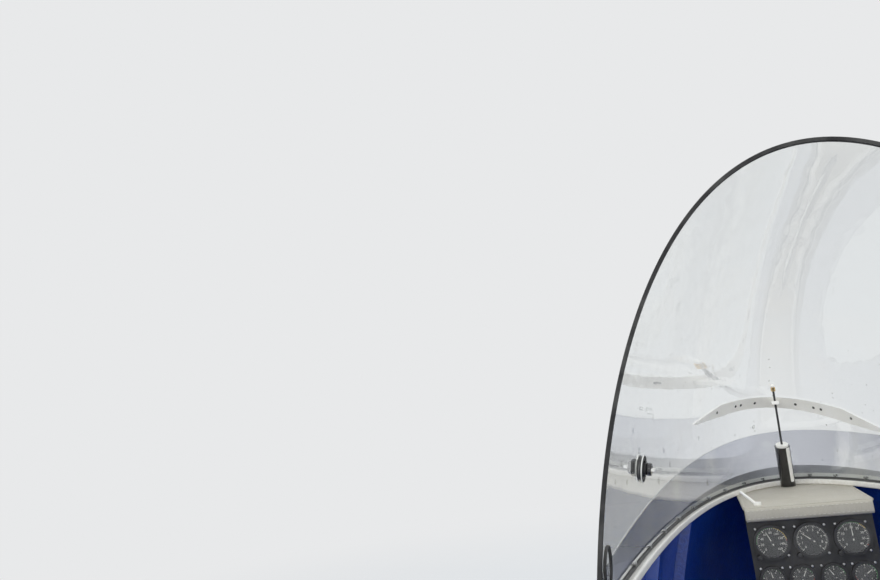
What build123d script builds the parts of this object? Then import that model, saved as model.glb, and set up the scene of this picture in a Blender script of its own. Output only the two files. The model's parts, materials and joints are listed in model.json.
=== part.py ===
from build123d import *
from math import asin, cos, degrees, radians, sin, sqrt, tan
import os

# Nose fairing with windscreen of a tandem open gyroplane, +Y forward, +X to the right, +Z up.
# The origin is the middle of the keel bracket's four bolts, on the bracket's underside.
# Heights are measured from the rim's top, and places along the fairing from the rim's front.

# Rim that the windscreen stands on
RIM_Y = 1000.0
RIM_Z = 534.0
RIM_OUTSIDE = 9.0
RIM_INSIDE = 15.0
RIM_THICK = 12.0
RIM_ROUND = 3.0

# Windscreen bubble: the front of a long ellipsoid with its nose raised
BUBBLE_HALF_WIDTH = 370.0
BUBBLE_HALF_LENGTH = 1895.0
BUBBLE_HALF_HEIGHT = 750.0
BUBBLE_PITCH = 7.1
BUBBLE_DROP = 208.0
BUBBLE_AHEAD = 60.0
# A grown bubble grows this much more in length, which keeps a skin between two of them even
GROW_LENGTH = 1.3
# Line across, behind and below the rim's front, that the fan of the bubble's sections turns about
FAN_Y = -1500.0
FAN_DROP = 60.0
FAN_REAR = 250.0
FAN_ANGLES = (-4, 2, 8, 14, 20, 30, 40, 50, 60)
GLASS = 3.0
EDGE_FOOT = -1158.0
EDGE_LEAN = 13.9

# Fit between pieces that touch along curved faces
FIT = 0.3

# Fairing shell
WALL = 3.0
REAR_Y = -1250.0
BELLY_DEPTH = 528.0
BELLY_HALF_WIDTH = 190.0
BELLY_NOSE = -330.0
HULL_AHEAD = 250.0
HULL_REACH = 450.0
# Depth below the rim, nose ahead of the rim's front, half width, middle of the half ellipse
HULL_SECTIONS = (
    (70.0, 70.0, 374.0, -1650.0),
    (170.0, 118.0, 386.0, -1500.0),
    (290.0, 108.0, 386.0, -1400.0),
    (400.0, 20.0, 352.0, -1300.0),
    (480.0, -130.0, 285.0, -1250.0),
    (BELLY_DEPTH, BELLY_NOSE, BELLY_HALF_WIDTH, -1250.0),
)

# Seal, clamp strip and screws at the windscreen's foot
SEAL_WALL = 2.5
SEAL_HEIGHT = 4.5
STRIP_THICK = 1.5
STRIP_HEIGHT = 14.0
STRIP_FRONT_HEIGHT = 33.0
STRIP_KNEE = -480.0
SCREW_HEIGHT = 8.8
SCREW_RADIUS = 2.0
SCREW_HEAD_RADIUS = 4.5
SCREW_HEAD = 2.2
SCREW_NUT_RADIUS = 3.6
SCREW_NUT = 2.4
SCREW_NUT_GAP = 1.3
# Places of the screws behind the rim's front, the same on both sides
SCREW_STATIONS = (-18.0, -75.0, -165.0, -275.0, -395.0, -520.0, -650.0, -780.0, -910.0, -1040.0, -1125.0)

# Tinted doubler inside the windscreen's foot, its top edge falling toward the rear
BAND_HEIGHT = 122.0
BAND_FALL = 3.8
BAND_THICK = 1.5

# Rubber trim on the windscreen's free edge
TRIM_WALL = 1.0
TRIM_DEPTH = 4.0
TRIM_FOOT = 16.0

# White stay strip across the inside of the windscreen, an arc whose top is left of the middle
STAY_HEIGHT = 196.0
STAY_ARC_RADIUS = 385.0
STAY_ARC_X = -60.0
STAY_HALF_LENGTH = 190.0
STAY_FULL_HALF_LENGTH = 125.0
STAY_HALF_WIDTH = 12.5
STAY_TIP_HALF_WIDTH = 1.5
STAY_THICK = 2.5
RIVET_RADIUS = 3.2
RIVET_SHANK = 1.6
RIVET_HEAD = 1.6
# Distances of the stay strip's rivets from the middle
RIVET_OFFSETS = (45.0, 79.0, 92.0, 138.0)

# Stay rod and the bush that it stands in
POST_SETBACK = 38.0
POST_HEAD_SETBACK = 28.0
BUSH_RADIUS = 17.0
BUSH_HEIGHT = 104.0
CAP_RADIUS = 14.0
CAP_THICK = 5.0
ROD_RADIUS = 2.5
ROD_LENGTH = 244.0
ROD_SOCKET = 20.0
TIP_RADIUS = 5.0
TIP_LENGTH = 9.0
LUG_WIDTH = 16.0
LUG_HEIGHT = 8.0
LUG_REAR = 7.0

# Round vent in the left of the windscreen
VENT_Y = -835.0
VENT_HEIGHT = 136.0
VENT_HOLE_RADIUS = 17.0
VENT_RING_RADIUS = 20.5
VENT_LIP = 1.8
VENT_SAG = 3.0
VENT_DISC_RADIUS = 15.0
VENT_DISC_THICK = 4.0
VENT_GAP = 0.6
SCOOP_RADIUS = 13.5
SCOOP_WALL = 1.6
SCOOP_HEIGHT = 17.0
SCOOP_ROUND = 4.0
VENT_KNOB_RADIUS = 9.0
VENT_KNOB_LENGTH = 13.0

# Hood under the rim and the instrument panel below it, both as wide
HOOD_HALF_WIDTH = 122.0
HOOD_REAR = -335.0
HOOD_THICK = 4.0
HOOD_LIP = 26.0
HOOD_LIP_THICK = 12.0
PANEL_Y = -300.0
PANEL_THICK = 3.0
PANEL_DEPTH = 262.0
LEVER_X = -92.0
LEVER_Y = -300.0
LEVER_LEAN = (-0.7, 0.1, 0.7)
LEVER_LENGTH = 40.0
LEVER_RADIUS = 3.0
LEVER_BASE_RADIUS = 8.0
LEVER_BASE_HEIGHT = 6.0

# Place across, depth below the rim and radius of each dial
DIALS = (
    (-78.0, 90.0, 36.0),
    (0.0, 90.0, 36.0),
    (78.0, 90.0, 36.0),
    (-88.0, 164.0, 26.0),
    (-30.0, 164.0, 26.0),
    (30.0, 164.0, 26.0),
    (88.0, 164.0, 26.0),
)
BEZEL_WIDTH = 5.0
BEZEL_DEPTH = 6.0
CASE_LENGTH = 62.0
DIAL_THICK = 1.0
SWITCH_DEPTH = 225.0
SWITCH_COUNT = 5
SWITCH_PITCH = 21.0
SWITCH_X = -58.0
SWITCH_RADIUS = 5.5
SWITCH_LENGTH = 14.0
SWITCH_BUSH = 5.0
SWITCH_LEVER_RADIUS = 2.0
KNOB_COUNT = 3
KNOB_PITCH = 32.0
KNOB_X = 64.0
KNOB_RADIUS = 11.0
KNOB_LENGTH = 18.0

# Floor, ribs and rear frame inside the shell
FLOOR_THICK = 12.0
FLOOR_FRONT = -420.0
RIB_WIDTH = 24.0
RIB_THICK = 8.0
RIB_STATIONS = (-462.0, -760.0)
FRAME_WIDTH = 30.0
FRAME_THICK = 5.0
FRAME_HOLE_RADIUS = 2.6
# Depths of the rear frame's screw holes, each at one of the hull's sections
FRAME_HOLE_ROWS = (1, 2, 3, 4)

# Slot for the nose leg, through belly and floor
LEG_Y = -560.0
LEG_LENGTH = 170.0
LEG_WIDTH = 90.0
LEG_RADIUS = 30.0
LEG_TRIM = 4.0
LEG_TRIM_HEIGHT = 12.0

# Keel bracket under the belly
BRACKET_Y = -RIM_Y
BRACKET_THICK = RIM_Z - BELLY_DEPTH
BRACKET_WIDTH = 130.0
BRACKET_LENGTH = 260.0
BRACKET_RADIUS = 12.0
PLATE_THICK = 4.0
BOLT_SPACING_X = 80.0
BOLT_SPACING_Y = 200.0
BOLT_HOLE_RADIUS = 4.25

# Landing light in the nose
LIGHT_DEPTH = 255.0
LIGHT_HOLE_RADIUS = 52.0
LIGHT_REACH = 200.0
LIGHT_RING_WIDTH = 9.0
LIGHT_RING_THICK = 2.5
LIGHT_CAN_WALL = 2.0
LIGHT_CAN_LENGTH = 82.0
BOWL_DEPTH = 42.0
BOWL_FLOOR = 4.0
BOWL_BALL = 56.0
BULB_RADIUS = 9.0
BULB_STEM = 22.0

# Pitot tube under the nose
PITOT_DEPTH = 372.0
PITOT_RADIUS = 5.0
PITOT_BORE = 2.0
PITOT_REACH = 190.0
PITOT_BORE_DEPTH = 20.0
PITOT_SOCKET_RADIUS = 11.0
PITOT_SOCKET_REACH = 70.0


def bubble_cut(along, up, angle, grow=0.0):
    """Middle, half width and half length of the ellipse in which a plane cuts the bubble.

    The plane holds a line across at a place along and up from the bubble's middle, and rises
    forward at an angle. The middle is measured from that line.
    """
    tilt, slope = radians(BUBBLE_PITCH), radians(angle - BUBBLE_PITCH)
    width = BUBBLE_HALF_WIDTH + grow
    length = BUBBLE_HALF_LENGTH + grow * GROW_LENGTH
    tall = BUBBLE_HALF_HEIGHT + grow
    y, z = along * cos(tilt) + up * sin(tilt), up * cos(tilt) - along * sin(tilt)
    square = (cos(slope) / length) ** 2 + (sin(slope) / tall) ** 2
    cross = y * cos(slope) / length**2 + z * sin(slope) / tall**2
    share = 1 - (y / length) ** 2 - (z / tall) ** 2 + cross**2 / square
    return -cross / square, width * sqrt(share), sqrt(share / square)


def bubble_section(height, grow=0.0):
    """Middle, half width and half length of the bubble's level ellipse, from its own middle."""
    return bubble_cut(0, height + BUBBLE_DROP, 0, grow)


# Middle of the ellipsoid behind the rim's front, where the bubble meets the rim
RIM_SHIFT, _, RIM_HALF_LENGTH = bubble_section(0)
BUBBLE_Y = -RIM_SHIFT - RIM_HALF_LENGTH


def bubble_front(height, grow=0.0):
    """Place of the bubble's foremost point at a height."""
    middle, _, length = bubble_section(height, grow)
    return BUBBLE_Y + middle + length


def bubble_plane(height, y, side, grow=0.0):
    """Plane on the bubble at a height and place, with its normal pointing outward."""
    middle, width, length = bubble_section(height, grow)
    x = side * width * sqrt(max(0.0, 1 - ((y - BUBBLE_Y - middle) / length) ** 2))
    c, s = cos(radians(BUBBLE_PITCH)), sin(radians(BUBBLE_PITCH))
    along, up = y - BUBBLE_Y, height + BUBBLE_DROP
    slope_y = (along * c + up * s) / (BUBBLE_HALF_LENGTH + grow * GROW_LENGTH) ** 2
    slope_z = (up * c - along * s) / (BUBBLE_HALF_HEIGHT + grow) ** 2
    normal = (x / (BUBBLE_HALF_WIDTH + grow) ** 2, slope_y * c - slope_z * s, slope_y * s + slope_z * c)
    return Plane(origin=(x, RIM_Y + y, RIM_Z + height), x_dir=(normal[1], -normal[0], 0), z_dir=normal)


def half_ellipse(plane, middle, width, length, rear):
    """The front of an ellipse in a plane, closed by a straight line across at the rear."""
    start = degrees(asin((rear - middle) / length))
    with BuildSketch(plane) as outline:
        with BuildLine():
            bow = EllipticalCenterArc((0, middle), width, length, start, arc_size=180 - 2 * start)
            Line(bow @ 1, bow @ 0)
        make_face()
    return outline.sketch


def level_ellipse(height, middle, width, length, rear):
    """A half ellipse at a height above the rim, with its middle behind the rim's front."""
    return half_ellipse(Plane((0, RIM_Y, RIM_Z + height)), middle, width, length, rear)


def bubble(grow):
    """The front of the windscreen's bubble, grown by a distance, from a fan of its ellipses."""
    outlines = []
    for angle in FAN_ANGLES:
        normal = (0, -sin(radians(angle)), cos(radians(angle)))
        fan_plane = Plane((0, RIM_Y + FAN_Y, RIM_Z - FAN_DROP), x_dir=(1, 0, 0), z_dir=normal)
        cut = bubble_cut(FAN_Y - BUBBLE_Y, BUBBLE_DROP - FAN_DROP, angle, grow)
        outlines.append(half_ellipse(fan_plane, *cut, FAN_REAR))
    with BuildPart(mode=Mode.PRIVATE) as front:
        loft(sections=outlines)
    return front.part


def edge_y(height, shift=0.0):
    """Place of the free edge's leaning plane at a height, shifted forward along its normal."""
    return EDGE_FOOT + height * tan(radians(EDGE_LEAN)) + shift / cos(radians(EDGE_LEAN))


def bubble_skin(outer, inner, low, high=BUBBLE_HALF_HEIGHT, rear_shift=0.0, front_shift=None):
    """Skin between two grown bubbles, between two heights and ahead of the free edge."""
    if front_shift is None:
        front = ((BUBBLE_AHEAD, high), (BUBBLE_AHEAD, low))
    else:
        front = ((edge_y(high, front_shift), high), (edge_y(low, front_shift), low))
    with BuildPart(mode=Mode.PRIVATE) as skin:
        with BuildSketch(Plane.YZ):
            with Locations((RIM_Y, RIM_Z)):
                Polygon((edge_y(low, rear_shift), low), (edge_y(high, rear_shift), high), *front, align=None)
        extrude(amount=BUBBLE_HALF_WIDTH + WALL, both=True)
        add(bubble(outer), mode=Mode.INTERSECT)
        add(bubble(inner), mode=Mode.SUBTRACT)
    return skin.part


def hull(inset):
    """The fairing's outer shape, with every section drawn in by a distance."""
    rear = REAR_Y if inset == 0 else REAR_Y - WALL
    middle, width, length = bubble_section(0, RIM_OUTSIDE)
    top = (0.0, BUBBLE_Y + middle + length, width, BUBBLE_Y + middle)
    outlines = [
        level_ellipse(-min(depth, BELLY_DEPTH - inset), middle, half_width - inset, nose - middle - inset, rear)
        for depth, nose, half_width, middle in (top, *HULL_SECTIONS)
    ]
    with BuildPart(mode=Mode.PRIVATE) as body:
        loft(sections=outlines)
    return body.part


def hull_half_width(row, inset):
    """Half width of the hull at the rear joint, at one of its sections."""
    _, nose, half_width, middle = HULL_SECTIONS[row]
    length = nose - middle - inset
    return (half_width - inset) * sqrt(1 - ((REAR_Y - middle) / length) ** 2)


# Shapes that several pieces are cut from
OUTER = hull(0)
INNER = hull(WALL)
LINER = hull(WALL + FIT)
BELLY_TOP = RIM_Z - BELLY_DEPTH + WALL
FLOOR_TOP = BELLY_TOP + FLOOR_THICK
SHELL_TOP = RIM_Z - RIM_THICK
HOOD_BOTTOM = SHELL_TOP - HOOD_THICK
BRACKET_MIDDLE = (0, RIM_Y + BRACKET_Y)
LEG_MIDDLE = (0, RIM_Y + LEG_Y)


def slab(shape, rear, front, low, high):
    """The slice of a shape between two places along the fairing and two levels."""
    with BuildPart(mode=Mode.PRIVATE) as piece:
        with BuildSketch(Plane.YZ):
            with Locations((RIM_Y, 0)):
                Polygon((rear, low), (front, low), (front, high), (rear, high), align=None)
        extrude(amount=HULL_REACH, both=True)
        add(shape, mode=Mode.INTERSECT)
    return piece.part


def belly_holes(radius):
    """The bolt pattern's holes, through everything between the bracket and the floor."""
    with BuildPart(mode=Mode.PRIVATE) as holes:
        with Locations((*BRACKET_MIDDLE, 0)):
            with GridLocations(BOLT_SPACING_X, BOLT_SPACING_Y, 2, 2):
                Cylinder(radius, 2 * FLOOR_TOP + WALL)
    return holes.part


def leg_slot(margin):
    """The nose leg's slot through belly and floor, with a margin all round."""
    with BuildPart(mode=Mode.PRIVATE) as slot:
        with BuildSketch(Plane.XY.offset(-WALL)):
            with Locations(LEG_MIDDLE):
                RectangleRounded(LEG_WIDTH + 2 * margin, LEG_LENGTH + 2 * margin, LEG_RADIUS + margin)
        extrude(amount=FLOOR_TOP + LEG_TRIM_HEIGHT)
    return slot.part


# Vent's axis, and the screws' seats on the glass, with the depth of the glass's inside below them
VENT_SEAT = bubble_plane(VENT_HEIGHT, VENT_Y, -1)
SCREW_LIFT = SEAL_WALL + STRIP_THICK + 2 * FIT
SCREW_DEPTH = SCREW_LIFT + GLASS + SCREW_NUT_GAP
SCREW_SEATS = [bubble_plane(SCREW_HEIGHT, y, side, SCREW_LIFT) for y in SCREW_STATIONS for side in (-1, 1)]


def stay_height(x, rise=0.0):
    """Height above the rim of the stay strip's middle line at a distance across, or of a line above it."""
    return STAY_HEIGHT - STAY_ARC_RADIUS + sqrt((STAY_ARC_RADIUS + rise) ** 2 - (x - STAY_ARC_X) ** 2)


def stay_plane(x):
    """Plane on the stay strip's inner face at a distance across."""
    height, grow = stay_height(x), -GLASS - FIT - STAY_THICK
    middle, width, length = bubble_section(height, grow)
    y = BUBBLE_Y + middle + length * sqrt(1 - (x / width) ** 2)
    return bubble_plane(height, y, 1 if x > 0 else -1, grow)


RIVET_SEATS = [stay_plane(side * x) for x in RIVET_OFFSETS for side in (-1, 1)]

# Stay post, leaning back from the rim to the strip
POST_TOP = stay_height(0)
POST_FOOT = Vector(0, RIM_Y - POST_SETBACK, SHELL_TOP)
POST_HEAD = Vector(0, RIM_Y + bubble_front(POST_TOP, -GLASS) - POST_HEAD_SETBACK, RIM_Z + POST_TOP)
POST_PLANE = Plane(origin=POST_FOOT, x_dir=(1, 0, 0), z_dir=POST_HEAD - POST_FOOT)


# Fairing shell, open at the cockpit and at the rear joint
light_plane = Plane(origin=(0, RIM_Y, RIM_Z - LIGHT_DEPTH), x_dir=(1, 0, 0), z_dir=(0, 1, 0))
with BuildPart() as nose_shell:
    add(OUTER)
    add(INNER, mode=Mode.SUBTRACT)
    split(bisect_by=Plane.XY.offset(SHELL_TOP), keep=Keep.BOTTOM)
    add(leg_slot(0), mode=Mode.SUBTRACT)
    add(belly_holes(BOLT_HOLE_RADIUS), mode=Mode.SUBTRACT)
    with BuildSketch(light_plane):
        Circle(LIGHT_HOLE_RADIUS)
    extrude(amount=LIGHT_REACH, mode=Mode.SUBTRACT)
    with BuildSketch(Plane.XZ.offset(-RIM_Y)):
        with Locations((0, RIM_Z - PITOT_DEPTH)):
            Circle(PITOT_RADIUS + FIT)
    extrude(amount=-LIGHT_REACH, mode=Mode.SUBTRACT)
nose_shell.part.label = "nose_shell"

# Rim on the shell's top edge, rounded above and along its inside
with BuildPart() as coaming_rim:
    middle, width, length = bubble_section(0, RIM_OUTSIDE)
    add(level_ellipse(0, BUBBLE_Y + middle, width, length, REAR_Y))
    extrude(amount=-RIM_THICK)
    middle, width, length = bubble_section(0, -RIM_INSIDE)
    add(level_ellipse(0, BUBBLE_Y + middle, width, length, REAR_Y - RIM_INSIDE))
    extrude(amount=-RIM_THICK, mode=Mode.SUBTRACT)
    bows = coaming_rim.edges().filter_by(GeomType.ELLIPSE)
    fillet([*bows.group_by(Axis.Z)[-1], bows.group_by(Axis.Z)[0].sort_by(SortBy.LENGTH)[0]], RIM_ROUND)
coaming_rim.part.label = "coaming_rim"

# Windscreen bubble, with holes for its screws and its vent
with BuildPart() as windscreen:
    add(bubble_skin(0, -GLASS, SEAL_WALL))
    for seat in SCREW_SEATS:
        with Locations(seat.location):
            Cylinder(SCREW_RADIUS + FIT, 8 * GLASS, mode=Mode.SUBTRACT)
    with Locations(VENT_SEAT.location):
        Cylinder(VENT_HOLE_RADIUS + FIT, 8 * GLASS, mode=Mode.SUBTRACT)
windscreen.part.label = "windscreen"

# Rubber channel that the windscreen's foot stands in
with BuildPart() as windscreen_seal:
    add(bubble_skin(SEAL_WALL, -GLASS - SEAL_WALL, 0, SEAL_HEIGHT))
    add(bubble_skin(FIT, -GLASS - FIT, SEAL_WALL - FIT, SEAL_HEIGHT + SEAL_WALL), mode=Mode.SUBTRACT)
windscreen_seal.part.label = "windscreen_seal"

# Clamp strip outside the seal, standing on the rim and rising toward the front
with BuildPart() as clamp_strip:
    add(bubble_skin(SEAL_WALL + FIT + STRIP_THICK, SEAL_WALL + FIT, 0, STRIP_FRONT_HEIGHT))
    with BuildSketch(Plane.YZ):
        with Locations((RIM_Y, RIM_Z)):
            side_top = ((REAR_Y, STRIP_HEIGHT), (STRIP_KNEE, STRIP_HEIGHT))
            Polygon(*side_top, (0, STRIP_FRONT_HEIGHT), (REAR_Y, STRIP_FRONT_HEIGHT), align=None)
    extrude(amount=BUBBLE_HALF_WIDTH + WALL, both=True, mode=Mode.SUBTRACT)
    for seat in SCREW_SEATS:
        with Locations(seat.location):
            Cylinder(SCREW_RADIUS + FIT, 8 * GLASS, mode=Mode.SUBTRACT)
clamp_strip.part.label = "clamp_strip"

# Screws through clamp strip and windscreen, with a nut inside
with BuildPart() as clamp_screws:
    for seat in SCREW_SEATS:
        with BuildSketch(seat):
            Circle(SCREW_HEAD_RADIUS)
        extrude(amount=SCREW_HEAD)
        with BuildSketch(seat):
            Circle(SCREW_RADIUS)
        extrude(amount=-SCREW_DEPTH)
        with BuildSketch(seat.offset(-SCREW_DEPTH)):
            RegularPolygon(SCREW_NUT_RADIUS, 6)
        extrude(amount=-SCREW_NUT)
clamp_screws.part.label = "clamp_screws"

# Tinted band laid on the inside of the windscreen's foot
with BuildPart() as tinted_band:
    inner = -GLASS - FIT - BAND_THICK
    add(bubble_skin(-GLASS - FIT, inner, STRIP_HEIGHT, rear_shift=TRIM_DEPTH + FIT))
    top_plane = Plane((0, RIM_Y, RIM_Z + BAND_HEIGHT)).rotated((BAND_FALL, 0, 0))
    split(bisect_by=top_plane, keep=Keep.BOTTOM)
    with Locations(VENT_SEAT.location):
        Cylinder(VENT_RING_RADIUS + FIT, 8 * GLASS, mode=Mode.SUBTRACT)
tinted_band.part.label = "tinted_band"

# Rubber trim pushed over the free edge
with BuildPart() as edge_trim:
    outer, inner = FIT + TRIM_WALL, -GLASS - FIT - TRIM_WALL
    add(bubble_skin(outer, inner, TRIM_FOOT, rear_shift=-TRIM_WALL - FIT, front_shift=TRIM_DEPTH))
    add(bubble_skin(FIT, -GLASS - FIT, SEAL_WALL, rear_shift=-FIT), mode=Mode.SUBTRACT)
edge_trim.part.label = "edge_trim"

# White strip across the inside of the windscreen, tapering to its ends
with BuildPart() as stay_strip:
    with BuildSketch(Plane((0, RIM_Y + BUBBLE_AHEAD, RIM_Z), x_dir=(1, 0, 0), z_dir=(0, -1, 0))):
        with BuildLine():
            ends = []
            for rise in (STAY_HALF_WIDTH, -STAY_HALF_WIDTH):
                stations = (-STAY_FULL_HALF_LENGTH, 0, STAY_FULL_HALF_LENGTH)
                edge = ThreePointArc(*[(x, stay_height(x, rise)) for x in stations])
                ends.append((edge @ 0, edge @ 1))
            for side, (upper, lower) in zip((-1, 1), zip(*ends)):
                tip_x, tip = side * STAY_HALF_LENGTH, stay_height(side * STAY_HALF_LENGTH)
                Polyline(upper, (tip_x, tip + STAY_TIP_HALF_WIDTH), (tip_x, tip - STAY_TIP_HALF_WIDTH), lower)
        make_face()
    extrude(amount=BUBBLE_AHEAD - REAR_Y)
    add(bubble(-GLASS - FIT), mode=Mode.INTERSECT)
    add(bubble(-GLASS - FIT - STAY_THICK), mode=Mode.SUBTRACT)
    for seat in RIVET_SEATS:
        with Locations(seat.location):
            Cylinder(RIVET_SHANK + FIT, 8 * STAY_THICK, mode=Mode.SUBTRACT)
stay_strip.part.label = "stay_strip"

# Rivets of the stay strip, their heads toward the cockpit
with BuildPart() as stay_rivets:
    for seat in RIVET_SEATS:
        with BuildSketch(seat.offset(-FIT)):
            Circle(RIVET_RADIUS)
        extrude(amount=-RIVET_HEAD)
        with BuildSketch(seat.offset(-FIT)):
            Circle(RIVET_SHANK)
        extrude(amount=STAY_THICK)
stay_rivets.part.label = "stay_rivets"

# Lug that ties the stay rod to the strip
with BuildPart() as stay_lug:
    with BuildSketch(Plane.XY.offset(POST_HEAD.Z - LUG_HEIGHT / 2)):
        with Locations((0, POST_HEAD.Y - LUG_REAR)):
            Rectangle(LUG_WIDTH, LUG_REAR + POST_HEAD_SETBACK, align=(Align.CENTER, Align.MIN))
    extrude(amount=LUG_HEIGHT)
    add(bubble(-GLASS - 2 * FIT - STAY_THICK), mode=Mode.INTERSECT)
    with BuildSketch(POST_PLANE):
        Circle(ROD_RADIUS + FIT)
    extrude(amount=ROD_LENGTH, mode=Mode.SUBTRACT)
stay_lug.part.label = "stay_lug"

# Stay rod, its bush on the hood, the bush's cap and the rod's tip
with BuildPart() as stay_rod:
    with BuildSketch(POST_PLANE.offset(BUSH_HEIGHT - ROD_SOCKET)):
        Circle(ROD_RADIUS)
    extrude(amount=ROD_LENGTH - BUSH_HEIGHT + ROD_SOCKET)
stay_rod.part.label = "stay_rod"

with BuildPart() as stay_bush:
    with BuildSketch(POST_PLANE.offset(-2 * RIM_THICK)):
        Circle(BUSH_RADIUS)
    extrude(amount=BUSH_HEIGHT + 2 * RIM_THICK)
    split(bisect_by=Plane.XY.offset(SHELL_TOP), keep=Keep.TOP)
    with BuildSketch(POST_PLANE.offset(BUSH_HEIGHT - ROD_SOCKET)):
        Circle(ROD_RADIUS)
    extrude(amount=ROD_SOCKET, mode=Mode.SUBTRACT)
stay_bush.part.label = "stay_bush"

with BuildPart() as bush_cap:
    with BuildSketch(POST_PLANE.offset(BUSH_HEIGHT)):
        Circle(CAP_RADIUS)
        Circle(ROD_RADIUS, mode=Mode.SUBTRACT)
    extrude(amount=CAP_THICK)
bush_cap.part.label = "bush_cap"

with BuildPart() as rod_tip:
    with BuildSketch(POST_PLANE.offset(ROD_LENGTH)):
        Circle(TIP_RADIUS)
    extrude(amount=TIP_LENGTH)
rod_tip.part.label = "rod_tip"

# Vent ring clipped into the windscreen, and the scoop that turns in it with a knob inside
with BuildPart() as vent_ring:
    with BuildSketch(VENT_SEAT.offset(FIT + VENT_LIP)):
        Circle(VENT_RING_RADIUS)
    extrude(amount=-VENT_LIP)
    with BuildSketch(VENT_SEAT.offset(FIT)):
        Circle(VENT_HOLE_RADIUS)
    extrude(amount=-FIT - GLASS - VENT_SAG)
    with BuildSketch(VENT_SEAT.offset(-GLASS - VENT_SAG)):
        Circle(VENT_RING_RADIUS)
    extrude(amount=-VENT_LIP)
    with Locations(VENT_SEAT.location):
        Cylinder(VENT_DISC_RADIUS - VENT_LIP, 8 * GLASS, mode=Mode.SUBTRACT)
    with BuildSketch(VENT_SEAT.offset(-GLASS - VENT_SAG)):
        Circle(VENT_DISC_RADIUS + VENT_GAP)
    extrude(amount=2 * (GLASS + VENT_SAG), mode=Mode.SUBTRACT)
vent_ring.part.label = "vent_ring"

disc_plane = VENT_SEAT.offset(-GLASS - VENT_SAG + VENT_GAP)
scoop_plane = disc_plane.offset(VENT_DISC_THICK)
with BuildPart() as vent_scoop:
    with BuildSketch(disc_plane):
        Circle(VENT_DISC_RADIUS)
    extrude(amount=VENT_DISC_THICK)
    with BuildSketch(scoop_plane):
        Circle(SCOOP_RADIUS)
        Rectangle(SCOOP_RADIUS, 2 * SCOOP_RADIUS, align=(Align.MAX, Align.CENTER), mode=Mode.SUBTRACT)
    extrude(amount=SCOOP_HEIGHT)
    scoop_rim = vent_scoop.faces().sort_by(Axis(scoop_plane.origin, scoop_plane.z_dir))[-1]
    fillet(scoop_rim.edges().filter_by(GeomType.CIRCLE), SCOOP_ROUND)
    with BuildSketch(scoop_plane):
        Circle(SCOOP_RADIUS - SCOOP_WALL)
        Rectangle(SCOOP_RADIUS, 2 * SCOOP_RADIUS, align=(Align.MAX, Align.CENTER), mode=Mode.SUBTRACT)
    extrude(amount=SCOOP_HEIGHT - SCOOP_WALL - SCOOP_ROUND, mode=Mode.SUBTRACT)
    with BuildSketch(disc_plane):
        Circle(VENT_KNOB_RADIUS)
    extrude(amount=-VENT_KNOB_LENGTH)
vent_scoop.part.label = "vent_scoop"

# Hood under the rim, with a lip along its rear edge
lever_plane = Plane((LEVER_X, RIM_Y + LEVER_Y, SHELL_TOP), x_dir=(0, 1, 0), z_dir=LEVER_LEAN)
with BuildPart() as hood:
    add(slab(LINER, HOOD_REAR, HULL_AHEAD, HOOD_BOTTOM, SHELL_TOP))
    add(slab(LINER, HOOD_REAR, HOOD_REAR + HOOD_LIP_THICK, SHELL_TOP - HOOD_LIP, SHELL_TOP))
    with BuildSketch(Plane.XY):
        with Locations((0, RIM_Y)):
            Rectangle(2 * HOOD_HALF_WIDTH, 2 * HULL_REACH)
    extrude(amount=RIM_Z, mode=Mode.INTERSECT)
hood.part.label = "hood"

with BuildPart() as hood_lever:
    with BuildSketch(Plane.XY.offset(SHELL_TOP)):
        with Locations((LEVER_X, RIM_Y + LEVER_Y)):
            Circle(LEVER_BASE_RADIUS)
    extrude(amount=LEVER_BASE_HEIGHT)
    with BuildSketch(lever_plane.offset(LEVER_BASE_HEIGHT / 2)):
        Circle(LEVER_RADIUS)
    extrude(amount=LEVER_LENGTH)
hood_lever.part.label = "hood_lever"

# Instrument panel below the hood, its face toward the pilot
panel_face = Plane((0, RIM_Y + PANEL_Y, RIM_Z), x_dir=(1, 0, 0), z_dir=(0, -1, 0))
with BuildPart() as instrument_panel:
    with BuildSketch(panel_face):
        with Locations((0, HOOD_BOTTOM - RIM_Z)):
            Rectangle(2 * HOOD_HALF_WIDTH, PANEL_DEPTH - RIM_Z + HOOD_BOTTOM, align=(Align.CENTER, Align.MAX))
    extrude(amount=-PANEL_THICK)
    with BuildSketch(panel_face):
        for x, depth, radius in DIALS:
            with Locations((x, -depth)):
                Circle(radius - BEZEL_WIDTH)
    extrude(amount=-PANEL_THICK, mode=Mode.SUBTRACT)
instrument_panel.part.label = "instrument_panel"

with BuildPart() as dial_bezels:
    with BuildSketch(panel_face):
        for x, depth, radius in DIALS:
            with Locations((x, -depth)):
                Circle(radius)
                Circle(radius - BEZEL_WIDTH, mode=Mode.SUBTRACT)
    extrude(amount=BEZEL_DEPTH)
dial_bezels.part.label = "dial_bezels"

with BuildPart() as dial_cases:
    with BuildSketch(panel_face):
        for x, depth, radius in DIALS:
            with Locations((x, -depth)):
                Circle(radius - BEZEL_WIDTH - FIT)
    extrude(amount=-CASE_LENGTH)
dial_cases.part.label = "dial_cases"

with BuildPart() as dial_faces:
    with BuildSketch(panel_face):
        for x, depth, radius in DIALS:
            with Locations((x, -depth)):
                Circle(radius - BEZEL_WIDTH - FIT)
    extrude(amount=DIAL_THICK)
dial_faces.part.label = "dial_faces"

switch_bar = (SWITCH_X, -SWITCH_DEPTH)
with BuildPart() as panel_switches:
    with BuildSketch(panel_face):
        with Locations(switch_bar):
            with GridLocations(SWITCH_PITCH, 1, SWITCH_COUNT, 1):
                Circle(SWITCH_RADIUS)
    extrude(amount=SWITCH_BUSH)
    with BuildSketch(panel_face.offset(SWITCH_BUSH)):
        with Locations(switch_bar):
            with GridLocations(SWITCH_PITCH, 1, SWITCH_COUNT, 1):
                Circle(SWITCH_LEVER_RADIUS)
    extrude(amount=SWITCH_LENGTH)
panel_switches.part.label = "panel_switches"

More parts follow.
